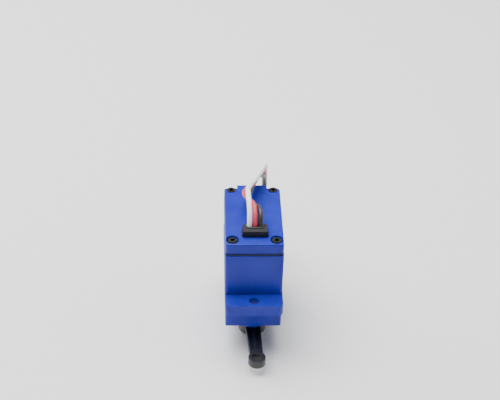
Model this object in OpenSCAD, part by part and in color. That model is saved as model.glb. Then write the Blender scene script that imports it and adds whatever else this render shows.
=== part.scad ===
// Sub-micro digital servo motor, output shaft pointing down.
// +Z is up, +Y is the length of the case (the output end is at -Y), X is its width.
// The origin is the middle between the two ear holes, on the underside of the ears.

/* [Case] */
// Width of the case
body_w = 12.2; // [10:0.1:16]
// Length of the case without its ears
body_l = 22.8; // [20:0.1:28]
// Radius of the upright corners
corner_r = 0.7; // [0.4:0.1:1.5]
// Wall thickness of the case
wall = 0.9; // [0.7:0.1:1.5]
// Underside of the ears to the outer face of the bottom cover
top_z = 15.4; // [12:0.1:20]
// Height of the bottom cover
cover_h = 2.55; // [2:0.05:4]
// Underside of the ears down to the gear case seam
plate_drop = 1.0; // [0.6:0.1:2]
// Height of the gear case
gear_case_h = 5.2; // [5:0.1:7]

/* [Ears] */
// Length of each ear
ear_l = 4.0; // [3:0.1:6]
// Thickness of the ears
ear_t = 2.5; // [1.5:0.1:3]
// Distance between the two ear holes
ear_hole_pitch = 27.2; // [26:0.1:30]
// Diameter of the ear holes
ear_hole_d = 2.2; // [1.6:0.1:3]

/* [Case screws] */
// Distance of the case screws from the middle, across the case
screw_x = 4.6; // [4:0.1:5]
// Distance of the case screws from the middle, along the case
screw_y = 9.5; // [9:0.1:10]
// Diameter of the screw heads
screw_head_d = 1.9; // [1.6:0.1:2.6]
// Diameter of the screw shanks
screw_d = 1.0; // [0.8:0.1:1.4]
// Depth of the screw heads below the cover's outer face
screw_sink = 0.1; // [0.05:0.05:0.5]

/* [Output] */
// Distance of the output axis from the middle of the case
output_y = -5.4; // [-7:0.05:-4]
// Diameter of the output shaft
shaft_d = 4.0; // [3.6:0.1:4.6]
// Number of teeth of the output spline
spline_teeth = 21; // [15:1:25]
// Distance from the output axis to the hole in the horn's tip
horn_r = 13.1; // [10:0.1:20]
// Diameter of the hole in the horn's tip
horn_hole_d = 2.0; // [1:0.1:2.4]
// Angle of the horn on the output spline
horn_turn = 3; // [-8:1:8]

/* [Lead] */
// Diameter of one wire
wire_d = 1.1; // [0.9:0.05:1.4]
// Spacing of the wires in the flat lead
wire_pitch = 1.15; // [1:0.05:1.6]
// Spacing of the contacts in the connector
contact_pitch = 2.54; // [2:0.01:3]

/* [Hidden] */
$fn = 48;
eps = 0.01;
seam_z = top_z - cover_h;
plate_z = -plate_drop;
plate_top = 0.2;
face_z = plate_z - gear_case_h;
half_w = body_w / 2;
half_l = body_l / 2;
inner_w = body_w - 2 * wall - 0.1;
inner_l = body_l - 2 * wall;
lid_z = top_z - 1.2;
draft = 0.1;
seam_gap = 0.4;
seam_inset = 0.3;
lip_inset = 0.75;
screw_head_h = 1.5;
pocket_r = 1.3;
pocket_z = top_z - screw_sink - screw_head_h;
step_z = top_z - 1;

// Gear train: module, teeth and heights of each pair
m_fast = 0.2;
m_mid = 0.25;
m_slow = 0.35;
z_small = 9;
z_first = 39;
z_mid = 33;
z_output = 21;
idler_y = output_y + (z_small + z_mid) / 2 * m_mid;
motor_y = idler_y + (z_small + z_first) / 2 * m_fast;
layer_1 = [-1.95, -1.15];
layer_2 = [-2.9, -2.1];
layer_3 = [-3.85, -3.05];
layer_4 = [-5.0, -4.0];
spindle_r = 0.55;
idler_r = 0.5;
gear_fit = 0.03;

// Output bearing, seal and shaft
shaft_r = shaft_d / 2;
bearing_r = 3.5;
bearing_z = [-6.95, -5.35];
seal_z = [-7.47, -6.97];
seal_section = 0.24;
boss_z = -7.7;
boss_r = 4.3;
shaft_end = -10.6;
hub_z = [-11.0, -7.85];
arm_z = [-10.4, -8.6];
horn_screw_z = -12.2;

// Motor
can_r = 5.0;
can_z = [0.2, 10.3];
bell_z = 11.5;
motor_shaft_r = 0.5;

// Potentiometer
pot_r = 4.2;
pot_z = [0.2, 5.0];

// Control board
board_z = 12.0;
board_t = 0.6;

// Grommet
grommet_y = -7.3;
grommet_h = 1.4;

// Lead: each route point holds the lead's middle, its turn about its own length in degrees,
// the spacing of the wires there and how far the red wire bows out to the side
floor_z = -12.4;
wire_r = wire_d / 2;
exit_x = 0.15;
exit_y = -6.6;
route = [
    [0.15, -6.6, 12.6, 0, 1.15, 0],
    [0.15, -6.6, 15.0, 0, 1.15, 0],
    [0.15, -6.6, 16.8, 0, 1.15, 0],
    [0.15, -6.1, 18.2, 2, 1.15, 0],
    [0.15, -5.0, 19.3, 9, 1.15, 0],
    [-0.1, -3.3, 20.0, 34, 1.15, 0],
    [-1.05, -0.9, 20.0, 82, 1.15, 0.25],
    [-1.15, 1.8, 19.5, 94, 1.15, 0.75],
    [-0.5, 4.6, 18.9, 100, 1.15, 0.7],
    [0.25, 7.4, 18.4, 112, 1.15, 0],
    [1.1, 10.4, 18.1, 120, 1.15, 0],
    [2.05, 13.4, 17.6, 118, 1.15, 0],
    [2.8, 16.1, 16.3, 108, 1.15, 0],
    [3.1, 18.3, 14.0, 96, 1.15, 0],
    [3.15, 19.7, 10.8, 90, 1.15, 0],
    [3.1, 20.6, 7.0, 90, 1.15, 0],
    [3.05, 21.2, 2.6, 90, 1.15, 0],
    [2.95, 21.8, -2.0, 90, 1.15, 0],
    [2.8, 22.7, -6.2, 90, 1.15, 0],
    [2.8, 24.6, -9.3, 90, 1.15, 0],
    [3.2, 27.8, -10.5, 90, 1.15, 0],
    [3.9, 31.1, -10.5, 90, 1.15, 0],
    [4.6, 34.5, -10.5, 90, 1.15, 0]
];
tail = [
    [-3.8, 21.0, -10.5, -90, 1.15, 0],
    [-3.6, 18.6, -10.6, -72, 1.2, 0],
    [-2.5, 16.0, -10.8, -30, 1.75, 0],
    [-1.0, 13.2, -11.1, 0, 2.54, 0],
    [-1.0, 11.0, -11.1, 0, 2.54, 0]
];
hank_x = 1.0;
hank_y = 33.5;
hank_run = 20;
hank_fold_in = 3.6;
hank_fold_out = 4.8;
hank_z = [-12.2, -8.75];
tie_t = 0.2;

// Connector
plug_x = -1.0;
plug_y = [-1.0, 13.0];
plug_w = 7.9;
plug_h = 2.6;
plug_z = floor_z + plug_h / 2;

// ---------- Shared shapes ----------

// Rectangle with round corners, w along X and l along Y
module round_rect(w, l, r) {
    square([w - 2 * r, l], center = true);
    square([w, l - 2 * r], center = true);
    for (x = [-1, 1], y = [-1, 1])
        translate([x * (w / 2 - r), y * (l / 2 - r)])
            circle(r);
}

// Upright block with round corners between two heights
module block(w, l, r, z0, z1) {
    translate([0, 0, z0])
        linear_extrude(z1 - z0)
            round_rect(w, l, r);
}

// Block whose upper or lower rim is rounded in both directions
module soft_block(w, l, r, z0, z1, rim, up = true) {
    h = z1 - z0;
    intersection() {
        block(w, l, r, z0, z1);
        translate([0, l / 2, z0])
            rotate([90, 0, 0])
                linear_extrude(l)
                    rim_profile(w, h, rim, up);
        translate([-w / 2, 0, z0])
            rotate([90, 0, 90])
                linear_extrude(w)
                    rim_profile(l, h, rim, up);
    }
}

// Side view of a block with two rounded corners on one edge
module rim_profile(w, h, rim, up) {
    flat_y = up ? 0 : rim;
    round_y = up ? h - rim : rim;
    translate([-w / 2, flat_y])
        square([w, h - rim]);
    translate([-w / 2 + rim, 0])
        square([w - 2 * rim, h]);
    for (x = [-1, 1])
        translate([x * (w / 2 - rim), round_y])
            circle(rim);
}

// Upright cylinder between two heights at a place on the case's middle plane
module post(r, z0, z1, y = 0, x = 0) {
    translate([x, y, z0])
        cylinder(r = r, h = z1 - z0);
}

// Upright tube between two heights
module sleeve(r_out, r_in, z0, z1, y = 0) {
    difference() {
        post(r_out, z0, z1, y);
        post(r_in, z0 - 1, z1 + 1, y);
    }
}

// Thin ring that follows the case's outline
module outline_ring(z0, z1, inset_out, inset_in) {
    difference() {
        block(body_w - 2 * inset_out, body_l - 2 * inset_out, corner_r, z0, z1);
        block(body_w - 2 * inset_in, body_l - 2 * inset_in, corner_r, z0 - 1, z1 + 1);
    }
}

module at_screws() {
    for (x = [-1, 1], y = [-1, 1])
        translate([x * screw_x, y * screw_y, 0])
            children();
}

// ---------- Gears ----------

function involute_of(a) = tan(a) * 180 / PI - a;

// Half of a tooth's angle at radius r
function half_tooth(m, z, r) =
    let (
        pitch_r = m * z / 2,
        base_r = pitch_r * cos(20),
        a = acos(base_r / max(r, base_r))
    )
    0.4 * 180 / z + involute_of(20) - involute_of(a);

function on_circle(r, a) = [r * cos(a), r * sin(a)];

// Gear outline with a tooth on the +X axis
function gear_outline(m, z) =
    let (
        pitch_r = m * z / 2,
        root_r = pitch_r - 1.1 * m,
        tip_r = pitch_r + 0.75 * m,
        radii = [root_r, pitch_r - 0.3 * m, pitch_r + 0.2 * m, tip_r],
        last = len(radii) - 1
    )
    [
        for (i = [0:z - 1])
            for (k = [0:2 * last + 1])
                let (
                    rising = k <= last,
                    r = radii[rising ? k : 2 * last + 1 - k],
                    half = half_tooth(m, z, r)
                )
                on_circle(r, 360 * i / z + (rising ? -half : half))
    ];

// Gear between two heights with one tooth at the angle given
module gear(m, z, layer, tooth_angle) {
    translate([0, 0, layer[0]])
        rotate([0, 0, tooth_angle])
            linear_extrude(layer[1] - layer[0])
                polygon(gear_outline(m, z));
}

function spline_outline(r_out, r_in, n) =
    [for (i = [0:2 * n - 1]) on_circle(i % 2 == 0 ? r_out : r_in, 180 * i / n)];

// ---------- Case ----------

// Pockets around the screw heads, with a step at the corners away from the output
module screw_pockets() {
    depth = top_z + 1 - pocket_z;
    for (x = [-1, 1]) {
        for (y = [-9.68, -9.32])
            post(pocket_r, pocket_z, top_z + 1, y, x * screw_x);
        translate([x * screw_x - pocket_r, -9.68, pocket_z])
            cube([2 * pocket_r, 0.36, depth]);
        post(1.15, pocket_z, top_z + 1, screw_y, x * screw_x);
        post(pocket_r, step_z, top_z + 1, screw_y, x * screw_x);
        translate([x > 0 ? 3.25 : -8.25, screw_y, step_z])
            cube([5, 4, depth]);
    }
}

module bottom_cover() {
    color("royalblue")
        difference() {
            union() {
                soft_block(body_w, body_l, corner_r, seam_z + seam_gap, top_z, 0.35);
                block(
                    body_w - 2 * seam_inset, body_l - 2 * seam_inset, corner_r,
                    seam_z, seam_z + seam_gap + 0.1
                );
            }
            block(inner_w, 13.8, 0.5, seam_z - 1, lid_z);
            block(5.8, inner_l, 0.5, seam_z - 1, lid_z);
            screw_pockets();
            at_screws()
                cylinder(r = screw_d / 2 + 0.1, h = 40, center = true);
            translate([exit_x, grommet_y, 0])
                block(4.8, 2.6, 0.6, lid_z - 1, top_z + 1);
        }
}

module ear_plate() {
    block(body_w, body_l + 2 * ear_l, 1.0, 0, ear_t);
}

module middle_case() {
    color("royalblue")
        difference() {
            union() {
                intersection() {
                    block(body_w + 0.1, body_l, corner_r, plate_z, seam_z - seam_gap);
                    translate([0, half_l, plate_z])
                        rotate([90, 0, 0])
                            linear_extrude(body_l)
                                polygon([
                                    [-half_w + draft, 0],
                                    [half_w - draft, 0],
                                    [half_w - draft, 3.6],
                                    [half_w + 0.05, seam_z - plate_z],
                                    [-half_w - 0.05, seam_z - plate_z],
                                    [-half_w + draft, 3.6]
                                ]);
                }
                block(
                    body_w - 2 * lip_inset, body_l - 2 * lip_inset, corner_r,
                    seam_z - seam_gap - 0.1, seam_z
                );
                ear_plate();
            }
            difference() {
                block(inner_w, inner_l, 0.4, plate_top, seam_z + 1);
                at_screws()
                    cylinder(r = 1.1, h = 60, center = true);
                for (x = [-1, 1], y = [-1, 1])
                    translate([x * (inner_w / 2), y * (inner_l / 2), 0])
                        cube([1.4, 1.8, 60], center = true);
            }
            outline_ring(plate_z - 1, plate_z + 0.3, 0.45, 0.75);
            at_screws()
                cylinder(r = screw_d / 2 + 0.1, h = 60, center = true);
            for (y = [-1, 1])
                post(ear_hole_d / 2, -1, ear_t + 1, y * ear_hole_pitch / 2);
            post(1.6, plate_z - 1, 1, motor_y);
            post(1.05, plate_z - 1, 1, output_y);
            post(idler_r, plate_z - 1, -0.3, idler_y);
        }
}

module gear_case() {
    color("mediumblue")
        difference() {
            union() {
                soft_block(body_w - 0.2, body_l, corner_r, face_z, plate_z - 0.2, 0.6, false);
                block(body_w - 0.6, body_l - 0.4, corner_r, plate_z - 0.3, plate_z);
                post(boss_r, boss_z, face_z + 0.5, output_y);
            }
            difference() {
                block(inner_w - 0.2, inner_l, 0.4, layer_4[0] - 0.2, plate_z + 1);
                at_screws()
                    cylinder(r = 1.1, h = 60, center = true);
                for (x = [-1, 1], y = [-1, 1])
                    translate([x * (inner_w / 2), y * (inner_l / 2), 0])
                        cube([1.6, 1.8, 60], center = true);
            }
            at_screws()
                translate([0, 0, -5.0])
                    cylinder(r = screw_d / 2, h = 20);
            post(bearing_r, bearing_z[0], plate_z, output_y);
            post(2.5, seal_z[0], bearing_z[0] + eps, output_y);
            post(shaft_r + 0.08, boss_z - 1, plate_z, output_y);
            post(idler_r, -5.9, plate_z, idler_y);
        }
}

module cover_gasket() {
    color("dimgray")
        outline_ring(seam_z - seam_gap, seam_z, 0.18, lip_inset);
}

module gear_case_gasket() {
    color("dimgray")
        outline_ring(plate_z, plate_z + 0.3, 0.45, 0.75);
}

module case_screw(x, y) {
    head_top = top_z - screw_sink;
    color("dimgray")
        translate([x * screw_x, y * screw_y, 0])
            difference() {
                union() {
                    post(screw_d / 2, -4.6, pocket_z + eps);
                    post(screw_head_d / 2, pocket_z, head_top);
                }
                translate([0, 0, head_top - 0.5])
                    cylinder(r = 0.55, h = 2, $fn = 6);
            }
}

// ---------- Electronics and lead ----------

// Side view of the grommet: narrower towards its top
module flared_side(half, flare) {
    polygon([
        [-half, 0],
        [half, 0],
        [half - 0.7 * flare, 0.8],
        [half - flare, grommet_h],
        [flare - half, grommet_h],
        [0.7 * flare - half, 0.8]
    ]);
}

module cable_grommet() {
    color([0.12, 0.12, 0.13])
        difference() {
            translate([exit_x, grommet_y, 0])
                union() {
                    intersection() {
                        block(5.7, 2.94, 0.8, top_z, top_z + grommet_h);
                        translate([0, 1.5, top_z])
                            rotate([90, 0, 0])
                                linear_extrude(3)
                                    flared_side(2.85, 0.32);
                        translate([-2.85, 0, top_z])
                            rotate([90, 0, 90])
                                linear_extrude(5.7)
                                    flared_side(1.47, 0.07);
                    }
                    block(4.8, 2.6, 0.6, lid_z, top_z);
                    block(5.4, 3.1, 0.7, lid_z - 0.4, lid_z);
                }
            for (k = [-1:1])
                post(wire_r + 0.01, lid_z - 2, top_z + 3, exit_y, exit_x + k * wire_pitch);
        }
}

module control_board() {
    color("darkgreen")
        difference() {
            block(9.8, 16.4, 0.3, board_z, board_z + board_t);
            for (x = [-2.2, 2.2])
                post(0.4, board_z - 1, board_z + 2, motor_y, x);
            for (x = [-1.2, 0, 1.2])
                post(0.3, board_z - 1, board_z + 2, -4.4, x);
        }
}

module controller_chip() {
    color([0.1, 0.1, 0.11])
        translate([0, 0.2, 0])
            block(4, 4, 0.1, board_z + board_t, board_z + board_t + 0.8);
}

module driver_chips() {
    color([0.1, 0.1, 0.11])
        for (x = [-3.6, 3.6])
            translate([x, -3.2, 0])
                block(2, 2.9, 0.1, board_z + board_t, board_z + board_t + 0.7);
}

module board_capacitor() {
    color("goldenrod")
        translate([-3.6, 2.2, 0])
            block(1.6, 3.2, 0.2, board_z + board_t, board_z + board_t + 1.3);
}

function unit(v) = v / norm(v);

// Direction of the lead's middle line at point i
function along(line, i) = unit(line[min(i + 1, len(line) - 1)] - line[max(i - 1, 0)]);

// Places of one wire along a route: side is 1 for white, 0 for red, -1 for black
function wire_path(points, side) =
    let (line = [for (p = points) [p[0], p[1], p[2]]])
    [
        for (i = [0:len(line) - 1])
            let (
                turn = points[i][3],
                spacing = points[i][4],
                bow = (1 - abs(side)) * points[i][5],
                across = [1, 0, 0],
                up = unit(cross(across, along(line, i)))
            )
            line[i] + side * spacing * (sin(turn) * up - cos(turn) * across) - bow * across
    ];

// Direction of the path at point i; the two ends have a given direction
function heading(path, i, first, last) =
    i == 0 ? first
    : i == len(path) - 1 ? last
    : unit(unit(path[i + 1] - path[i]) + unit(path[i] - path[i - 1]));

// Round tube with eight sides along a path that never runs along X
module tube(path, r, first, last) {
    n = len(path);
    points = [
        for (i = [0:n - 1])
            let (
                t = heading(path, i, first, last),
                u = unit(cross(t, [1, 0, 0])),
                v = cross(t, u)
            )
            for (k = [0:7])
                path[i] + r * (cos(45 * k) * u + sin(45 * k) * v)
    ];
    sides = [
        for (i = [0:n - 2])
            for (k = [0:7])
                [8 * i + k, 8 * i + (k + 1) % 8, 8 * i + 8 + (k + 1) % 8, 8 * i + 8 + k]
    ];
    first_end = [[for (k = [7:-1:0]) k]];
    last_end = [[for (k = [0:7]) 8 * (n - 1) + k]];
    polyhedron(points, concat(first_end, sides, last_end), convexity = 10);
}

module wire(side) {
    tube(wire_path(route, side), wire_r, [0, 0, 1], [0, 1, 0]);
}

module tail_wire(side) {
    tube(wire_path(tail, side), wire_r, [0, -1, 0], [0, -1, 0]);
}

// Outline of a folded hank: two round ends joined by straight runs
module hank_outline(r) {
    for (y = [-1, 1])
        translate([0, y * hank_run / 2])
            circle(r);
    square([2 * r, hank_run], center = true);
}

module lead_hank() {
    run_start = hank_y - hank_run / 2;
    color("gray")
        difference() {
            union() {
                translate([hank_x, hank_y, hank_z[0]])
                    linear_extrude(hank_z[1] - hank_z[0])
                        hank_outline(hank_fold_out + wire_r);
                translate([hank_x - hank_fold_out - wire_r, 21, hank_z[0]])
                    cube([wire_d, run_start - 21, hank_z[1] - hank_z[0]]);
            }
            translate([hank_x, hank_y, hank_z[0] - 1])
                linear_extrude(10)
                    hank_outline(hank_fold_in - wire_r);
            translate([hank_x + hank_fold_in - 1.6, 20, hank_z[0] - 1])
                cube([2.2, 14.5, 10]);
        }
}

module lead_tie() {
    half = hank_fold_out + wire_r;
    color([0.1, 0.1, 0.1])
        translate([hank_x, 39, 0])
            difference() {
                translate([-half - tie_t, -1.5, floor_z])
                    cube([2 * half + 2 * tie_t, 3, hank_z[1] + tie_t - floor_z]);
                translate([-half, -2, hank_z[0]])
                    cube([2 * half, 4, hank_z[1] - hank_z[0]]);
            }
}

module connector_housing() {
    color([0.12, 0.12, 0.13])
        difference() {
            translate([plug_x, (plug_y[0] + plug_y[1]) / 2, 0])
                block(plug_w, plug_y[1] - plug_y[0], 0.3, floor_z, floor_z + plug_h);
            for (k = [-1:1])
                translate([plug_x + k * contact_pitch, 0, plug_z]) {
                    translate([-0.85, plug_y[0] + 0.8, -0.8])
                        cube([1.7, 10.2, 1.6]);
                    translate([-0.4, plug_y[0] - 1, -0.4])
                        cube([0.8, 3, 0.8]);
                    translate([0, 9, 0])
                        rotate([-90, 0, 0])
                            cylinder(r = wire_r + 0.02, h = 10);
                    translate([-0.6, 5, 0])
                        cube([1.2, 2.4, 3]);
                }
        }
}

module connector_contacts() {
    color("gold")
        for (k = [-1:1])
            translate([plug_x + k * contact_pitch, plug_y[0] + 1, plug_z])
                difference() {
                    translate([-0.8, 0, -0.75])
                        cube([1.6, 9.8, 1.5]);
                    translate([-0.5, -1, -0.45])
                        cube([1, 7, 0.9]);
                }
}

// ---------- Motor ----------

module motor_can() {
    color("silver")
        difference() {
            post(can_r, can_z[0], can_z[1], motor_y);
            post(can_r - 0.4, can_z[0] + 0.5, can_z[1] + 1, motor_y);
            post(1.3, -1, 2, motor_y);
        }
}

module motor_endbell() {
    color("white")
        difference() {
            union() {
                post(can_r, can_z[1], bell_z, motor_y);
                post(can_r - 0.45, can_z[1] - 0.6, can_z[1] + eps, motor_y);
            }
            post(2.9, can_z[1] - 1, can_z[1] + 0.5, motor_y);
            post(motor_shaft_r + gear_fit, can_z[1] - 1, bell_z - 0.4, motor_y);
        }
}

module motor_terminals() {
    color("gold")
        for (x = [-2.2, 2.2])
            translate([x, motor_y, (bell_z + board_z + board_t) / 2])
                cube([0.3, 0.6, board_z + board_t - bell_z], center = true);
}

module motor_magnets() {
    color([0.25, 0.25, 0.27])
        difference() {
            sleeve(can_r - 0.4, 3.7, 2.0, 9.2, motor_y);
            translate([0, motor_y, 5])
                cube([4.6, 12, 12], center = true);
        }
}

module motor_bushing() {
    color("goldenrod")
        sleeve(1.3, motor_shaft_r + gear_fit, -0.5, 1.2, motor_y);
}

module motor_brushes() {
    color("gold")
        for (x = [-1, 1])
            translate([x * 1.35, motor_y, 10.2])
                cube([0.3, 2.2, 1.2], center = true);
}

module motor_shaft() {
    color("silver")
        post(motor_shaft_r, layer_1[0] - 0.1, 11.0, motor_y);
}

module motor_pinion() {
    color("goldenrod")
        difference() {
            translate([0, motor_y, 0])
                gear(m_fast, z_small, layer_1, 270);
            post(motor_shaft_r, -3, 0, motor_y);
        }
}

module armature() {
    color("slategray")
        translate([0, motor_y, 0])
            difference() {
                post(3.45, 3.2, 8.2);
                post(motor_shaft_r, 3, 9);
                for (a = [30, 150, 270])
                    rotate([0, 0, a])
                        translate([1.5, -0.35, 3])
                            cube([3, 0.7, 6]);
                for (a = [30, 150, 270])
                    rotate([0, 0, a])
                        post(0.9, 3, 9, 0, 1.95);
            }
}

module armature_windings() {
    color("chocolate")
        translate([0, motor_y, 0]) {
            sleeve(2.9, 1.2, 2.4, 3.2);
            sleeve(2.9, 1.2, 8.2, 9.0);
        }
}

module commutator() {
    color("peru")
        sleeve(1.15, motor_shaft_r, 9.3, 10.5, motor_y);
}

// ---------- Potentiometer ----------

module potentiometer_body() {
    color("steelblue")
        difference() {
            post(pot_r, pot_z[0], pot_z[1], output_y);
            post(pot_r - 0.5, pot_z[0] + 0.5, pot_z[1] - 0.5, output_y);
            post(1.05, 0, 2, output_y);
        }
}

module pot_track() {
    color("saddlebrown")
        sleeve(3.6, 2.0, 3.7, 4.5, output_y);
}

module pot_terminals() {
    color("silver")
        for (x = [-1.2, 0, 1.2])
            post(0.25, pot_z[1], board_z + board_t, -4.4, x);
}

module pot_wiper() {
    color("ivory")
        difference() {
            union() {
                post(1.0, -0.9, 3.4, output_y);
                post(3.2, 2.6, 3.2, output_y);
            }
            post(spindle_r, -2, 0, output_y);
        }
}

// ---------- Gear train ----------

module idler_pin() {
    color("silver")
        post(idler_r, -5.9, -0.3, idler_y);
}

module first_gear() {
    color("goldenrod")
        difference() {
            translate([0, idler_y, 0]) {
                gear(m_fast, z_first, layer_1, 90 + 180 / z_first);
                gear(m_mid, z_small, [layer_2[0], layer_1[0] + eps], 270);
            }
            post(idler_r + gear_fit, -9, 0, idler_y);
        }
}

module second_gear() {
    color("goldenrod")
        difference() {
            translate([0, output_y, 0]) {
                gear(m_mid, z_mid, layer_2, 90 + 180 / z_mid);
                gear(m_mid, z_small, [layer_3[0], layer_2[0] + eps], 90);
            }
            post(spindle_r + gear_fit, -9, 0, output_y);
        }
}

module third_gear() {
    color("goldenrod")
        difference() {
            translate([0, idler_y, 0]) {
                gear(m_mid, z_mid, layer_3, 270 + 180 / z_mid);
                gear(m_slow, z_small, [layer_4[0], layer_3[0] + eps], 270);
            }
            post(idler_r + gear_fit, -9, 0, idler_y);
        }
}

module output_gear() {
    color("goldenrod")
        difference() {
            union() {
                translate([0, output_y, 0])
                    gear(m_slow, z_output, layer_4, 90 + 180 / z_output);
                post(shaft_r + 0.3, -5.3, layer_4[0] + eps, output_y);
                post(shaft_r, -7.75, -5.3 + eps, output_y);
                translate([0, output_y, shaft_end])
                    linear_extrude(-7.75 - shaft_end + eps)
                        polygon(spline_outline(shaft_r - 0.05, shaft_r - 0.25, spline_teeth));
            }
            post(spindle_r, -5.0, 0, output_y);
            post(0.7, shaft_end - 1, -7.0, output_y);
        }
}

module output_spindle() {
    color("silver")
        post(spindle_r, -5.0, 0, output_y);
}

module bearing_inner_ring() {
    color("silver")
        difference() {
            sleeve(2.45, shaft_r, bearing_z[0], bearing_z[1], output_y);
            ball_groove();
        }
}

module bearing_outer_ring() {
    color("silver")
        difference() {
            sleeve(bearing_r, 3.05, bearing_z[0], bearing_z[1], output_y);
            ball_groove();
        }
}

module ball_groove() {
    translate([0, output_y, (bearing_z[0] + bearing_z[1]) / 2])
        rotate_extrude()
            translate([2.75, 0])
                circle(0.45);
}

module bearing_balls() {
    color("silver")
        translate([0, output_y, (bearing_z[0] + bearing_z[1]) / 2])
            for (i = [0:8])
                rotate([0, 0, 40 * i])
                    translate([2.75, 0, 0])
                        sphere(0.42);
}

module output_seal() {
    color([0.1, 0.1, 0.1])
        translate([0, output_y, (seal_z[0] + seal_z[1]) / 2])
            rotate_extrude()
                translate([shaft_r + 0.02 + seal_section, 0])
                    circle(seal_section);
}

// ---------- Horn ----------

// Plan view of the arm, slightly narrower towards the tip
module arm_outline() {
    polygon([
        [-1.65, 0],
        [1.65, 0],
        [1.35, -horn_r],
        [-1.35, -horn_r]
    ]);
}

// Plan view of the hollow on one side of the arm's middle rib
module arm_recess(side) {
    polygon([
        [side * 0.3, -3.9],
        [side * 1.15, -3.9],
        [side * 0.95, 2.5 - horn_r],
        [side * 0.3, 2.5 - horn_r]
    ]);
}

module horn_arm() {
    difference() {
        union() {
            translate([0, 0, arm_z[0]])
                linear_extrude(arm_z[1] - arm_z[0])
                    arm_outline();
            post(1.85, arm_z[0], arm_z[1], -horn_r);
        }
        for (side = [-1, 1], z = [arm_z[0] - 1, arm_z[1] - 0.45])
            translate([0, 0, z])
                linear_extrude(1.45)
                    arm_recess(side);
        post(horn_hole_d / 2, arm_z[0] - 1, arm_z[1] + 1, -horn_r);
    }
}

module servo_horn() {
    color([0.1, 0.1, 0.11])
        translate([0, output_y, 0])
            difference() {
                union() {
                    post(3.0, hub_z[0], hub_z[1]);
                    rotate([0, 0, horn_turn])
                        horn_arm();
                }
                translate([0, 0, shaft_end])
                    linear_extrude(9)
                        polygon(spline_outline(shaft_r - 0.02, shaft_r - 0.22, spline_teeth));
                post(0.8, hub_z[0] - 1, hub_z[1]);
            }
}

module horn_screw() {
    color("dimgray")
        difference() {
            union() {
                post(1.8, horn_screw_z, hub_z[0], output_y);
                post(0.7, hub_z[0] - eps, -7.2, output_y);
            }
            translate([0, output_y, horn_screw_z - 1])
                cylinder(r = 0.85, h = 1.7, $fn = 6);
        }
}

// ---------- Output ----------

bottom_cover();
middle_case();
gear_case();
cover_gasket();
gear_case_gasket();
case_screw(-1, -1);  // case_screw_front_left
case_screw(1, -1);  // case_screw_front_right
case_screw(-1, 1);  // case_screw_rear_left
case_screw(1, 1);  // case_screw_rear_right
cable_grommet();
control_board();
controller_chip();
driver_chips();
board_capacitor();
motor_can();
motor_endbell();
motor_terminals();
motor_magnets();
motor_bushing();
motor_brushes();
potentiometer_body();
pot_track();
pot_terminals();
idler_pin();
bearing_outer_ring();
bearing_balls();
output_seal();
color("white") wire(1);  // wire_white
color("red") wire(0);  // wire_red
color([0.1, 0.1, 0.1]) wire(-1);  // wire_black
lead_hank();
lead_tie();
color("white") tail_wire(1);  // tail_white
color("red") tail_wire(0);  // tail_red
color([0.1, 0.1, 0.1]) tail_wire(-1);  // tail_black
connector_housing();
connector_contacts();
output_gear();
output_spindle();
pot_wiper();
bearing_inner_ring();
servo_horn();
horn_screw();
third_gear();
second_gear();
first_gear();
motor_shaft();
motor_pinion();
armature();
armature_windings();
commutator();
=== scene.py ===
"""Looks of a sub-micro servo motor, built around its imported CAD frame."""

import math

import bmesh
import bpy
from mathutils import Matrix, Vector


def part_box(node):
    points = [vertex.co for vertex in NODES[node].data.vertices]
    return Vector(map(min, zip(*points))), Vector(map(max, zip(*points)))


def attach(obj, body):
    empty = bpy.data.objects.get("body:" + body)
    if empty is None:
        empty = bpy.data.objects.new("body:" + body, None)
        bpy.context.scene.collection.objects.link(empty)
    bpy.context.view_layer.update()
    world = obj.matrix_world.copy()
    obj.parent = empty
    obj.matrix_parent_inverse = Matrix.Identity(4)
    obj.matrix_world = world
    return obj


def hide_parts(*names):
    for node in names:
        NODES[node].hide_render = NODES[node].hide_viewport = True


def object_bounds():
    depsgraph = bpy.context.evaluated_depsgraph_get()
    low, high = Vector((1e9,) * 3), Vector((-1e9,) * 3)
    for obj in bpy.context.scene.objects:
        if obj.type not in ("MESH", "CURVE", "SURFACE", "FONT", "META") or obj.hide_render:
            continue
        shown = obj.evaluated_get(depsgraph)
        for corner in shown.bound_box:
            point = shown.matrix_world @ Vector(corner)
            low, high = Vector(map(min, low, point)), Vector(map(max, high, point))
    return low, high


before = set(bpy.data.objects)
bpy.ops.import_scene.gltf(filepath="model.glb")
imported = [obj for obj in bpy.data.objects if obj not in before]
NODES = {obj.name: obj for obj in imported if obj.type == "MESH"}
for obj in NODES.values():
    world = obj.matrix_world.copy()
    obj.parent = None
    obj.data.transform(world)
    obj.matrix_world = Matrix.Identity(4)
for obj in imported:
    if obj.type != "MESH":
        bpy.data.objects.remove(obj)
CAD_BOX = [[float(v) for v in corner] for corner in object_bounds()]
MM = 0.001

# ---------- Camera ----------

# The camera stands above and in front of the output end, and looks down along the case.
CAMERA_FROM_COVER = Vector((-10.3, -243.4, 166.0)) * MM
CAMERA_PAN = math.radians(2.24)
CAMERA_TILT = math.radians(33.7)
CAMERA_ROLL = math.radians(1.23)
LENS_MM = 99.6
SENSOR_MM = 36.0
CLIP_START = 0.01


def add_camera():
    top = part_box("bottom_cover")[1].z
    data = bpy.data.cameras.new("photo_camera")
    data.lens = LENS_MM
    data.sensor_width = SENSOR_MM
    data.clip_start = CLIP_START
    camera = bpy.data.objects.new("photo_camera", data)
    bpy.context.scene.collection.objects.link(camera)
    turn = (
        Matrix.Rotation(-CAMERA_PAN, 4, "Z")
        @ Matrix.Rotation(math.pi / 2 - CAMERA_TILT, 4, "X")
        @ Matrix.Rotation(CAMERA_ROLL, 4, "Z")
    )
    place = CAMERA_FROM_COVER + Vector((0, 0, top))
    camera.matrix_world = Matrix.Translation(place) @ turn
    bpy.context.scene.camera = camera


# ---------- Lead ----------

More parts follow.
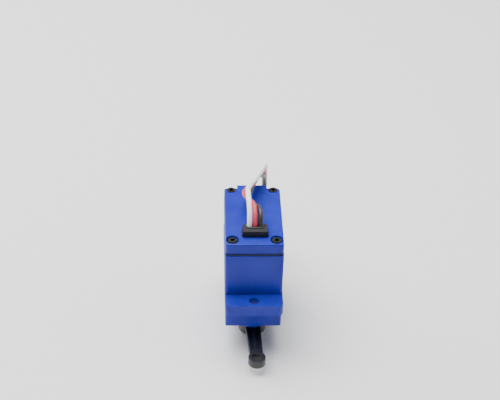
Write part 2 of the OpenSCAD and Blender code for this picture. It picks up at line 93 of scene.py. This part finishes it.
WIRE_D = 1.1
EXIT_Y = -6.6
EXIT_Z = 16.8
# Place of the lead's middle, its turn about its own length in degrees, the wire spacing, and
# how far the red wire bows out to the side
ROUTE = [
    (0.15, -6.6, 12.6, 0, 1.15, 0),
    (0.15, -6.6, 15.0, 0, 1.15, 0),
    (0.15, -6.6, 16.8, 0, 1.15, 0),
    (0.15, -6.1, 18.2, 2, 1.15, 0),
    (0.15, -5.0, 19.3, 9, 1.15, 0),
    (-0.1, -3.3, 20.0, 34, 1.15, 0),
    (-1.05, -0.9, 20.0, 82, 1.15, 0.25),
    (-1.15, 1.8, 19.5, 94, 1.15, 0.75),
    (-0.5, 4.6, 18.9, 100, 1.15, 0.7),
    (0.25, 7.4, 18.4, 112, 1.15, 0),
    (1.1, 10.4, 18.1, 120, 1.15, 0),
    (2.05, 13.4, 17.6, 118, 1.15, 0),
    (2.8, 16.1, 16.3, 108, 1.15, 0),
    (3.1, 18.3, 14.0, 96, 1.15, 0),
    (3.15, 19.7, 10.8, 90, 1.15, 0),
    (3.1, 20.6, 7.0, 90, 1.15, 0),
    (3.05, 21.2, 2.6, 90, 1.15, 0),
    (2.95, 21.8, -2.0, 90, 1.15, 0),
    (2.8, 22.7, -6.2, 90, 1.15, 0),
    (2.8, 24.6, -9.3, 90, 1.15, 0),
    (3.2, 27.8, -10.5, 90, 1.15, 0),
    (3.9, 31.1, -10.5, 90, 1.15, 0),
    (4.6, 34.5, -10.5, 90, 1.15, 0),
]
TAIL = [
    (-3.8, 21.0, -10.5, -90, 1.15, 0),
    (-3.6, 18.6, -10.6, -72, 1.2, 0),
    (-2.5, 16.0, -10.8, -30, 1.75, 0),
    (-1.0, 13.2, -11.1, 0, 2.54, 0),
    (-1.0, 11.0, -11.1, 0, 2.54, 0),
]
HANK_X = 1.0
HANK_Y = 33.5
HANK_RUN = 20.0
HANK_Z = -10.5
FOLD_IN = 3.6
FOLD_OUT = 4.8
FOLD_STEPS = 14
SMOOTH_STEPS = 8
WIRE_ROUNDNESS = 6


def arc(cx, cy, r, first, last):
    """Points of a fold of the hank, from one angle to another in degrees."""
    turns = [first + (last - first) * i / FOLD_STEPS for i in range(FOLD_STEPS + 1)]
    return [
        Vector((cx + r * math.cos(math.radians(a)), cy + r * math.sin(math.radians(a)), HANK_Z))
        for a in turns
    ]


def smooth(points, steps=SMOOTH_STEPS):
    """Catmull-Rom line through the points."""
    ends = [2 * points[0] - points[1], *points, 2 * points[-1] - points[-2]]
    line = []
    for a, b, c, d in zip(ends, ends[1:], ends[2:], ends[3:]):
        for k in range(steps):
            t = k / steps
            line.append(
                0.5
                * (
                    2 * b
                    + (c - a) * t
                    + (2 * a - 5 * b + 4 * c - d) * t * t
                    + (3 * b - a - 3 * c + d) * t ** 3
                )
            )
    return line + [points[-1]]


def beside(points, side):
    """One wire's places beside the lead's middle line; side is 1, 0 or -1."""
    line = [Vector(p[:3]) for p in points]
    across = Vector((1, 0, 0))
    places = []
    for i, (_, _, _, turn, spacing, bow) in enumerate(points):
        along = (line[min(i + 1, len(line) - 1)] - line[max(i - 1, 0)]).normalized()
        up = across.cross(along).normalized()
        a = math.radians(turn)
        spread = side * spacing * (math.sin(a) * up - math.cos(a) * across)
        places.append(line[i] + spread - (1 - abs(side)) * bow * across)
    return places


def hank_turns(side):
    """Two turns of the folded lead, from the end of ROUTE to the start of TAIL."""
    near = HANK_Y - HANK_RUN / 2
    far = HANK_Y + HANK_RUN / 2
    joined = (FOLD_OUT + FOLD_IN) / 2
    points = [
        *arc(HANK_X, far, FOLD_IN, 0, 180),
        *arc(HANK_X + (FOLD_OUT - FOLD_IN) / 2, near, joined, 180, 360),
        *arc(HANK_X, far, FOLD_OUT, 0, 180),
    ]
    lift = Vector((0, 0, side * ROUTE[-1][4]))
    return [p + lift for p in points]


def wire_line(side):
    """One wire from inside the grommet to the connector, through the hank."""
    first = smooth(beside(ROUTE, side))
    last = smooth(beside(TAIL, side))
    return first + hank_turns(side) + last


def add_wire(name, side, parts):
    points = wire_line(side)
    data = bpy.data.curves.new(name, "CURVE")
    data.dimensions = "3D"
    # A bevel depth of one, so that each point's radius is the wire's real radius
    data.bevel_depth = 1.0
    data.bevel_resolution = WIRE_ROUNDNESS
    data.use_fill_caps = True
    spline = data.splines.new("POLY")
    spline.points.add(len(points) - 1)
    for place, p in zip(spline.points, points):
        place.co = (*(p * MM), 1.0)
        place.radius = WIRE_D / 2 * MM
    spline.use_smooth = True
    wire = bpy.data.objects.new(name, data)
    bpy.context.scene.collection.objects.link(wire)
    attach(wire, "case")
    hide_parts(*parts)
    return wire


def add_lead():
    return {
        "white": add_wire("lead_white", 1, ["wire_white", "tail_white"]),
        "red": add_wire("lead_red", 0, ["wire_red", "tail_red", "lead_hank"]),
        "black": add_wire("lead_black", -1, ["wire_black", "tail_black"]),
    }


add_camera()
WIRES = add_lead()

# ---------- Materials ----------

# How many rays round off an edge, and the cosines between the true and the rounded normal
# where the edge colour starts and where it is full: wear on steel, and on plastic partly wear
# and partly a painted highlight
EDGE_RAYS = 4
EDGE_MARK_STARTS = 0.98
EDGE_MARK_FULL = 0.85
# The range that most of a noise's values lie in
NOISE_LOW = 0.3
NOISE_HIGH = 0.7


class Shader:
    """Small helper that builds one node material around a Principled shader."""

    def __init__(self, name):
        self.material = bpy.data.materials.new(name)
        self.material.use_nodes = True
        self.tree = self.material.node_tree
        self.nodes = self.tree.nodes
        self.bsdf = next(n for n in self.nodes if n.type == "BSDF_PRINCIPLED")
        coords = self.nodes.new("ShaderNodeTexCoord")
        self.place = coords.outputs["Object"]

    def link(self, a, b):
        self.tree.links.new(a, b)

    def mapping(self, scale):
        node = self.nodes.new("ShaderNodeMapping")
        node.inputs["Scale"].default_value = scale
        self.link(self.place, node.inputs["Vector"])
        return node.outputs["Vector"]

    def noise(self, per_mm, detail=4.0, rough=0.55, vector=None):
        node = self.nodes.new("ShaderNodeTexNoise")
        node.inputs["Scale"].default_value = per_mm * 1000
        node.inputs["Detail"].default_value = detail
        node.inputs["Roughness"].default_value = rough
        self.link(vector or self.place, node.inputs["Vector"])
        return node.outputs["Fac"]

    def ramp(self, fac, low, high, a, b):
        """Maps fac from low..high to a..b."""
        node = self.nodes.new("ShaderNodeMapRange")
        node.inputs["From Min"].default_value = low
        node.inputs["From Max"].default_value = high
        node.inputs["To Min"].default_value = a
        node.inputs["To Max"].default_value = b
        self.link(fac, node.inputs["Value"])
        return node.outputs["Result"]

    def between(self, noise, a, b):
        """Maps the usual range of a noise to a..b."""
        return self.ramp(noise, NOISE_LOW, NOISE_HIGH, a, b)

    def math(self, kind, a, b):
        node = self.nodes.new("ShaderNodeMath")
        node.operation = kind
        for socket, value in zip(node.inputs, (a, b)):
            if isinstance(value, (int, float)):
                socket.default_value = value
            else:
                self.link(value, socket)
        return node.outputs["Value"]

    def mix(self, fac, a, b):
        """Colour a where fac is 0, colour b where it is 1."""
        node = self.nodes.new("ShaderNodeMix")
        node.data_type = "RGBA"
        self.link(fac, node.inputs["Factor"])
        for socket, value in ((node.inputs["A"], a), (node.inputs["B"], b)):
            if isinstance(value, (tuple, list)):
                socket.default_value = (*value, 1.0)
            else:
                self.link(value, socket)
        return node.outputs["Result"]

    def bump(self, height, depth_mm, strength=1.0, under=None):
        node = self.nodes.new("ShaderNodeBump")
        node.inputs["Strength"].default_value = strength
        node.inputs["Distance"].default_value = depth_mm * MM
        self.link(height, node.inputs["Height"])
        if under is not None:
            self.link(under, node.inputs["Normal"])
        return node.outputs["Normal"]

    def edges(self, width_mm):
        """1 on convex and concave edges, 0 on flat faces."""
        bevel = self.nodes.new("ShaderNodeBevel")
        bevel.samples = EDGE_RAYS
        bevel.inputs["Radius"].default_value = width_mm * MM
        geometry = self.nodes.new("ShaderNodeNewGeometry")
        dot = self.nodes.new("ShaderNodeVectorMath")
        dot.operation = "DOT_PRODUCT"
        self.link(bevel.outputs["Normal"], dot.inputs[0])
        self.link(geometry.outputs["Normal"], dot.inputs[1])
        return self.ramp(dot.outputs["Value"], EDGE_MARK_STARTS, EDGE_MARK_FULL, 0.0, 1.0)

    def set(self, colour=None, rough=None, metal=None, normal=None, **constants):
        for name, value in (
            ("Base Color", colour),
            ("Roughness", rough),
            ("Metallic", metal),
            ("Normal", normal),
        ):
            if value is None:
                continue
            socket = self.bsdf.inputs[name]
            if isinstance(value, (int, float)):
                socket.default_value = value
            elif isinstance(value, (tuple, list)):
                socket.default_value = (*value, 1.0)
            else:
                self.link(value, socket)
        for name, value in constants.items():
            self.bsdf.inputs[name.replace("_", " ")].default_value = value
        return self.material


# Plastic: pattern sizes in cycles per millimetre, depths in millimetres
FLOW_PER_MM = 0.16
FLOW_DEPTH = 0.05
FLOW_SPREAD = 0.12
BLOTCH_PER_MM = 0.7
CHIPS_PER_MM = 2.6
# Width in millimetres of the lighter plastic edges: partly wear, partly a painted edge highlight
WEAR_AND_HIGHLIGHT_EDGE = 0.16
DUST = (0.18, 0.23, 0.36)
DUST_SHARE = 0.06
EDGE_POLISH = 0.08
PLASTIC_IOR = 1.5


def moulded(name, colour, rough, grain_per_mm=9.0, grain_mm=0.004, edge_wear_and_highlight=None, shine=0.5):
    """Injection-moulded plastic: fine spark grain, faint flow marks and polished edges; a given
    edge colour lightens the edges in random patches, partly wear and partly a painted highlight.
    """
    s = Shader(name)
    flow = s.noise(FLOW_PER_MM, 3.0)
    blotch = s.noise(BLOTCH_PER_MM, 5.0, 0.6)
    grain = s.noise(grain_per_mm, 3.0, 0.6)
    light = tuple(min(1.0, c * (1 + FLOW_SPREAD) + 0.002) for c in colour)
    dark = tuple(c * (1 - FLOW_SPREAD) for c in colour)
    shade = s.mix(s.between(flow, 0.0, 1.0), dark, light)
    plastic_colour = s.mix(s.ramp(blotch, 0.55, 0.8, 0.0, DUST_SHARE), shade, DUST)
    base_rough = s.ramp(blotch, 0.3, 0.75, rough - 0.05, rough + 0.09)
    if edge_wear_and_highlight is not None:
        # Edges take a lighter colour in random patches: partly wear, partly a painted highlight
        # along the edges
        edge = s.edges(WEAR_AND_HIGHLIGHT_EDGE)
        chips = s.ramp(s.noise(CHIPS_PER_MM, 4.0), 0.38, 0.62, 0.1, 0.55)
        plastic_colour = s.mix(s.math("MULTIPLY", edge, chips), plastic_colour, edge_wear_and_highlight)
        base_rough = s.math("SUBTRACT", base_rough, s.math("MULTIPLY", edge, EDGE_POLISH))
    fine = s.bump(grain, grain_mm, 0.5)
    wavy = s.bump(flow, FLOW_DEPTH, 0.25, fine)
    return s.set(plastic_colour, base_rough, 0.0, wavy, IOR=PLASTIC_IOR, Specular_IOR_Level=shine)


# Rubber
PORES_PER_MM = 14.0
PORE_DEPTH = 0.006
RUBBER_DUST_PER_MM = 0.9
RUBBER_DUST = (0.14, 0.14, 0.145)
RUBBER_DUST_SHARE = 0.12
RUBBER_SHINE = 0.36


def rubber(name, colour):
    """Matt moulded rubber with fine pores and pale dust."""
    s = Shader(name)
    pores = s.noise(PORES_PER_MM, 4.0, 0.65)
    dust = s.noise(RUBBER_DUST_PER_MM, 6.0, 0.7)
    shade = s.mix(s.ramp(dust, 0.45, 0.8, 0.0, RUBBER_DUST_SHARE), colour, RUBBER_DUST)
    rough = s.ramp(dust, 0.3, 0.8, 0.5, 0.72)
    skin = s.bump(pores, PORE_DEPTH, 0.55)
    return s.set(shade, rough, 0.0, skin, Specular_IOR_Level=RUBBER_SHINE)


# Wire insulation
SCUFFS_PER_MM = 1.1
SKIN_PER_MM = 11.0
SKIN_DEPTH = 0.003
WAVES_PER_MM = 0.6
WAVE_DEPTH = 0.03


def wire_skin(name, colour, rough=0.36, fade=0.82):
    """Extruded insulation: soft sheen, faint scuffs and slight unevenness."""
    s = Shader(name)
    scuff = s.noise(SCUFFS_PER_MM, 6.0, 0.7)
    grain = s.noise(SKIN_PER_MM, 3.0)
    waves = s.noise(WAVES_PER_MM, 2.0)
    dull = tuple(c * fade + 0.01 for c in colour)
    shade = s.mix(s.ramp(scuff, 0.45, 0.75, 0.0, 0.8), colour, dull)
    worn = s.ramp(scuff, 0.3, 0.75, rough - 0.06, rough + 0.14)
    surface = s.bump(waves, WAVE_DEPTH, 0.35, s.bump(grain, SKIN_DEPTH, 0.5))
    return s.set(shade, worn, 0.0, surface, IOR=PLASTIC_IOR)


# Black-oxide steel
TOOL_MARKS_PER_MM = 5.0
TOOL_MARK_DEPTH = 0.006
SPOTS_PER_MM = 1.7
BARE_EDGE = 0.09
OXIDE = (0.026, 0.025, 0.021)
WORN_OXIDE = (0.08, 0.078, 0.07)
BARE_STEEL = (0.42, 0.41, 0.4)
OXIDE_METALLIC = 0.85


def blackened_steel(name):
    """Black-oxide steel whose edges and turning marks show brighter metal."""
    s = Shader(name)
    marks = s.noise(TOOL_MARKS_PER_MM, 5.0, 0.6)
    spots = s.noise(SPOTS_PER_MM, 6.0, 0.7)
    bare = s.math("MULTIPLY", s.edges(BARE_EDGE), s.ramp(spots, 0.35, 0.6, 0.25, 0.9))
    oxide = s.mix(s.ramp(spots, 0.4, 0.8, 0.0, 0.5), OXIDE, WORN_OXIDE)
    shade = s.mix(bare, oxide, BARE_STEEL)
    rough = s.between(marks, 0.3, 0.5)
    return s.set(shade, rough, OXIDE_METALLIC, s.bump(marks, TOOL_MARK_DEPTH, 0.5))


# Turned metal
RING_STRETCH = (0.15, 0.15, 3.0)
RING_DEPTH = 0.004
STAINS_PER_MM = 0.8
TARNISH = 0.7


def turned_metal(name, colour, rough=0.26, per_mm=7.0):
    """Turned metal: fine rings along the axis, slight tarnish."""
    s = Shader(name)
    rings = s.noise(per_mm, 2.0, 0.5, s.mapping(RING_STRETCH))
    stain = s.noise(STAINS_PER_MM, 5.0, 0.65)
    dull = tuple(c * TARNISH for c in colour)
    shade = s.mix(s.ramp(stain, 0.4, 0.8, 0.0, 0.7), colour, dull)
    worn = s.ramp(stain, 0.3, 0.8, rough - 0.05, rough + 0.16)
    return s.set(shade, worn, 1.0, s.bump(rings, RING_DEPTH, 0.5))


# Board, sheet stack and winding: a SCALE is in cycles per metre
TRACK_SCALE = 900.0
TRACK_GAP = 0.03
TRACK_DEPTH = 0.02
MASK_PER_MM = 0.5
MASK_DARK = (0.008, 0.09, 0.03)
MASK_LIGHT = (0.015, 0.14, 0.045)
MASK_ON_TRACK = (0.03, 0.2, 0.07)
SHEET_SCALE = 1000.0
SHEET_DEPTH = 0.02
SHEET_WAVER = 0.3
SHEET_DARK = (0.12, 0.12, 0.13)
SHEET_LIGHT = (0.4, 0.41, 0.43)
TURN_SCALE = 1400.0
TURN_DEPTH = 0.03
TURN_WAVER = 0.6
ENAMEL_DARK = (0.22, 0.06, 0.02)
ENAMEL_LIGHT = (0.75, 0.28, 0.1)
HAZE_PER_MM = 2.0
COATED_METALLIC = 0.9


def circuit_board(name):
    """Green solder mask with paler copper tracks under it."""
    s = Shader(name)
    cells = s.nodes.new("ShaderNodeTexBrick")
    cells.inputs["Scale"].default_value = TRACK_SCALE
    cells.inputs["Mortar Size"].default_value = TRACK_GAP
    s.link(s.place, cells.inputs["Vector"])
    track = s.ramp(cells.outputs["Fac"], 0.0, 1.0, 0.0, 1.0)
    mask = s.mix(s.between(s.noise(MASK_PER_MM, 4.0), 0.0, 1.0), MASK_DARK, MASK_LIGHT)
    shade = s.mix(track, mask, MASK_ON_TRACK)
    rough = s.between(s.noise(HAZE_PER_MM), 0.25, 0.38)
    return s.set(shade, rough, 0.0, s.bump(track, TRACK_DEPTH, 0.4))


def laminated(name):
    """Stacked steel sheets: thin lines at even heights."""
    s = Shader(name)
    lines = s.nodes.new("ShaderNodeTexWave")
    lines.bands_direction = "Z"
    lines.inputs["Scale"].default_value = SHEET_SCALE
    lines.inputs["Distortion"].default_value = SHEET_WAVER
    s.link(s.place, lines.inputs["Vector"])
    sheets = lines.outputs["Fac"]
    rough = s.between(s.noise(HAZE_PER_MM), 0.3, 0.5)
    shade = s.mix(sheets, SHEET_DARK, SHEET_LIGHT)
    return s.set(shade, rough, COATED_METALLIC, s.bump(sheets, SHEET_DEPTH, 0.6))


def wound_copper(name):
    """Enamelled copper turns lying side by side."""
    s = Shader(name)
    coil = s.nodes.new("ShaderNodeTexWave")
    coil.wave_type = "RINGS"
    coil.rings_direction = "Z"
    coil.inputs["Scale"].default_value = TURN_SCALE
    coil.inputs["Distortion"].default_value = TURN_WAVER
    s.link(s.place, coil.inputs["Vector"])
    turns = coil.outputs["Fac"]
    rough = s.between(s.noise(HAZE_PER_MM), 0.22, 0.4)
    shade = s.mix(turns, ENAMEL_DARK, ENAMEL_LIGHT)
    return s.set(shade, rough, COATED_METALLIC, s.bump(turns, TURN_DEPTH, 0.7))


# The materials themselves: colour, roughness, then the surface's pattern size and depth
# The lighter colours given for the edges of the case, horn and connector housing are partly wear
# and partly a painted edge highlight
CASE_BLUE = moulded(
    "case_blue", (0.0125, 0.0225, 0.35), 0.38, 10.0, 0.004, edge_wear_and_highlight=(0.04, 0.09, 0.48), shine=0.22
)
HORN_BLACK = moulded(
    "horn_black", (0.018, 0.018, 0.019), 0.36, 10.0, 0.004, edge_wear_and_highlight=(0.06, 0.06, 0.06)
)
HOUSING_BLACK = moulded(
    "housing_black", (0.016, 0.016, 0.018), 0.4, 12.0, 0.005, edge_wear_and_highlight=(0.06, 0.06, 0.06)
)
CHIP_BLACK = moulded("chip_black", (0.02, 0.02, 0.022), 0.5, 16.0, 0.005)
NYLON = moulded("nylon_white", (0.72, 0.7, 0.64), 0.42, 8.0, 0.004)
POT_BLUE = moulded("pot_blue", (0.04, 0.13, 0.26), 0.42, 8.0, 0.004)
TANTALUM = moulded("tantalum", (0.62, 0.34, 0.05), 0.4, 10.0, 0.004)
PHENOLIC = moulded("phenolic", (0.16, 0.07, 0.03), 0.5, 7.0, 0.006)
TIE = moulded("tie_black", (0.02, 0.02, 0.022), 0.55, 4.5, 0.03)
RUBBER = rubber("rubber_black", (0.013, 0.013, 0.015))
COLLAR_RUBBER = rubber("rubber_scuffed", (0.045, 0.045, 0.047))
# The gaskets' dark navy is partly the rubber's colour and partly painted shade that darkens the
# seams between the case parts
GASKET_AND_SEAM_SHADE = rubber("gasket_navy_seam_shade", (0.013, 0.022, 0.085))
SCREW = blackened_steel("screw_dark")
BRIGHT = turned_metal("steel_bright", (0.6, 0.6, 0.61), 0.2)
PLATED = turned_metal("can_steel", (0.55, 0.55, 0.56), 0.28, 4.0)
BRASS = turned_metal("brass_gear", (0.66, 0.44, 0.15), 0.28)
GOLD = turned_metal("contact_gold", (0.78, 0.55, 0.2), 0.24)
BRONZE = turned_metal("bronze", (0.45, 0.28, 0.1), 0.42)
MAGNET = turned_metal("magnet_grey", (0.1, 0.1, 0.105), 0.5, 5.0)
SOLDER = turned_metal("solder", (0.58, 0.58, 0.6), 0.24, 3.0)
COPPER = wound_copper("copper")
LAMINATION = laminated("lamination")
BOARD = circuit_board("board_green")
WIRE_SKINS = {
    "white": wire_skin("wire_white", (0.95, 0.95, 0.96), fade=0.94),
    "red": wire_skin("wire_red", (0.62, 0.048, 0.082)),
    "black": wire_skin("wire_black", (0.028, 0.027, 0.036)),
}

CASE_SCREWS = [
    "case_screw_" + corner for corner in ("front_left", "front_right", "rear_left", "rear_right")
]
BY_NODE = {
    CASE_BLUE: ["bottom_cover", "middle_case", "gear_case"],
    RUBBER: ["cable_grommet", "output_seal"],
    GASKET_AND_SEAM_SHADE: ["cover_gasket", "gear_case_gasket"],
    SCREW: [*CASE_SCREWS, "horn_screw"],
    BOARD: ["control_board"],
    CHIP_BLACK: ["controller_chip", "driver_chips"],
    TANTALUM: ["board_capacitor"],
    PLATED: ["motor_can", "pot_terminals"],
    NYLON: ["motor_endbell", "pot_wiper"],
    GOLD: ["motor_terminals", "motor_brushes", "connector_contacts"],
    MAGNET: ["motor_magnets"],
    BRONZE: ["motor_bushing"],
    POT_BLUE: ["potentiometer_body"],
    PHENOLIC: ["pot_track"],
    BRIGHT: [
        "idler_pin",
        "bearing_outer_ring",
        "bearing_inner_ring",
        "bearing_balls",
        "output_spindle",
        "motor_shaft",
    ],
    TIE: ["lead_tie"],
    HOUSING_BLACK: ["connector_housing"],
    BRASS: ["output_gear", "third_gear", "second_gear", "first_gear", "motor_pinion"],
    HORN_BLACK: ["servo_horn"],
    LAMINATION: ["armature"],
    COPPER: ["armature_windings", "commutator"],
}


def paint(obj, material):
    obj.data.materials.clear()
    obj.data.materials.append(material)


for material, names in BY_NODE.items():
    for name in names:
        paint(NODES[name], material)
for colour, wire in WIRES.items():
    paint(wire, WIRE_SKINS[colour])

# ---------- Small pieces that the CAD model leaves to the looks ----------

WIRE_PITCH = ROUTE[0][4]
BOARD_TOP = 12.6
POT_PIN_PITCH = 1.2
POT_PIN_Y = -4.4
RING_STEPS = 28
# Closed outlines of (radius, height): the raised collar around the wires on the grommet, the
# solder around a wire on the board, and the solder around a thin pin
COLLAR = [(0.56, -0.2), (0.9, -0.2), (0.87, 0.1), (0.78, 0.22), (0.66, 0.24), (0.58, 0.16)]
WIRE_SOLDER = [(0.5, -0.05), (0.57, -0.05), (0.565, 0.12), (0.555, 0.3), (0.54, 0.36)]
PIN_SOLDER = [(0.2, -0.02), (0.55, -0.02), (0.5, 0.05), (0.36, 0.12), (0.28, 0.26), (0.22, 0.3)]


def add_ring(name, profile, x, y, z, material, stretch=0.0):
    """Ring around an upright line, turned from a closed profile of (radius, height) pairs.
    It is stretched to both sides along X by stretch."""
    bm = bmesh.new()
    rings = []
    for i in range(RING_STEPS):
        a = 2 * math.pi * (i + 0.5) / RING_STEPS
        centre = Vector((math.copysign(stretch, math.cos(a)), 0, 0)) * MM
        out = Vector((math.cos(a), math.sin(a), 0)) * MM
        up = Vector((0, 0, MM))
        rings.append([bm.verts.new(centre + r * out + h * up) for r, h in profile])
    for here, there in zip(rings, rings[1:] + rings[:1]):
        for k in range(len(profile)):
            after = (k + 1) % len(profile)
            bm.faces.new((here[k], there[k], there[after], here[after]))
    bmesh.ops.recalc_face_normals(bm, faces=bm.faces)
    mesh = bpy.data.meshes.new(name)
    bm.to_mesh(mesh)
    bm.free()
    for face in mesh.polygons:
        face.use_smooth = True
    ring = bpy.data.objects.new(name, mesh)
    bpy.context.scene.collection.objects.link(ring)
    ring.location = (x * MM, y * MM, z * MM)
    bpy.context.view_layer.update()
    paint(ring, material)
    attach(ring, "case")


def add_small_pieces():
    middle = ROUTE[0][0]
    add_ring("grommet_collar", COLLAR, middle, EXIT_Y, EXIT_Z, COLLAR_RUBBER, WIRE_PITCH)
    for k, colour in zip((-1, 0, 1), WIRES):
        x = middle + k * WIRE_PITCH
        add_ring("wire_solder_" + colour, WIRE_SOLDER, x, EXIT_Y, BOARD_TOP, SOLDER)
    for k, letter in zip((-1, 0, 1), "abc"):
        x = k * POT_PIN_PITCH
        add_ring("pot_solder_" + letter, PIN_SOLDER, x, POT_PIN_Y, BOARD_TOP, SOLDER)


add_small_pieces()

# ---------- Rounded edges on the CAD nodes ----------

# Edge radius of each node in millimetres, and the number of steps around it
EDGES = {
    "bottom_cover": (0.13, 3),
    "middle_case": (0.13, 3),
    "gear_case": (0.13, 3),
    "cable_grommet": (0.12, 3),
    "servo_horn": (0.12, 3),
    "horn_screw": (0.1, 2),
    **dict.fromkeys(CASE_SCREWS, (0.09, 2)),
    "connector_housing": (0.1, 2),
    "lead_tie": (0.06, 2),
    "control_board": (0.04, 1),
    "controller_chip": (0.06, 1),
    "driver_chips": (0.06, 1),
    "board_capacitor": (0.08, 2),
    "motor_can": (0.12, 2),
    "motor_endbell": (0.1, 2),
}
# The weld's distance in millimetres, and the sharpest edge that isn't rounded
WELD_DISTANCE = 0.002
SHARPEST_KEPT = math.radians(32)


def weld(obj):
    """Joins the CAD faces' meshes along their shared edges."""
    join = obj.modifiers.new("weld", "WELD")
    join.merge_threshold = WELD_DISTANCE * MM


def soften(obj, radius, steps):
    """Welds a CAD node and rounds its edges."""
    weld(obj)
    bevel = obj.modifiers.new("bevel", "BEVEL")
    bevel.width = radius * MM
    bevel.segments = steps
    bevel.limit_method = "ANGLE"
    bevel.angle_limit = SHARPEST_KEPT
    bevel.use_clamp_overlap = True
    bevel.harden_normals = True
    bevel.miter_outer = "MITER_ARC"


for name, (radius, steps) in EDGES.items():
    soften(NODES[name], radius, steps)
weld(NODES["bearing_balls"])

# ---------- Stage and light ----------

# Metres and watts, and the paper's grain in millimetres. Each light: name, place, width and
# height, power
FLOOR_SIZE = 3.0
PAPER_DARK = (0.88, 0.88, 0.875)
PAPER_LIGHT = (0.91, 0.91, 0.905)
PAPER_SPECKS_PER_MM = 0.4
PAPER_DEPTH = 0.02
PAPER_ROUGH = 0.85
LIGHTS = [
    ("key", (-0.1, 0.08, 0.5), (0.54, 0.54), 7.4),
    ("fill", (0.45, 0.0, 0.35), (0.3, 0.3), 0.6),
    ("rim", (-0.45, 0.25, 0.25), (0.3, 0.2), 1.0),
]
SKY_COLOUR = (0.86, 0.9, 1.0)
SKY_STRENGTH = 0.18


def add_floor():
    low = CAD_BOX[0][2]
    half = FLOOR_SIZE / 2
    corners = [(-half, -half, low), (half, -half, low), (half, half, low), (-half, half, low)]
    mesh = bpy.data.meshes.new("floor")
    mesh.from_pydata(corners, [], [(0, 1, 2, 3)])
    floor = bpy.data.objects.new("floor", mesh)
    bpy.context.scene.collection.objects.link(floor)
    s = Shader("floor_paper")
    speck = s.noise(PAPER_SPECKS_PER_MM, 4.0)
    shade = s.mix(s.between(speck, 0.0, 1.0), PAPER_DARK, PAPER_LIGHT)
    paint(floor, s.set(shade, PAPER_ROUGH, 0.0, s.bump(speck, PAPER_DEPTH, 0.2)))


def add_area_light(name, place, size, power):
    """Soft box that points at the origin."""
    data = bpy.data.lights.new(name, "AREA")
    data.shape = "RECTANGLE"
    data.size, data.size_y = size
    data.energy = power
    light = bpy.data.objects.new(name, data)
    bpy.context.scene.collection.objects.link(light)
    light.location = place
    light.rotation_euler = (-Vector(place)).to_track_quat("-Z", "Y").to_euler()


def add_sky():
    world = bpy.data.worlds.new("studio")
    world.use_nodes = True
    back = world.node_tree.nodes["Background"]
    back.inputs["Color"].default_value = (*SKY_COLOUR, 1.0)
    back.inputs["Strength"].default_value = SKY_STRENGTH
    bpy.context.scene.world = world


add_floor()
for light in LIGHTS:
    add_area_light(*light)
add_sky()
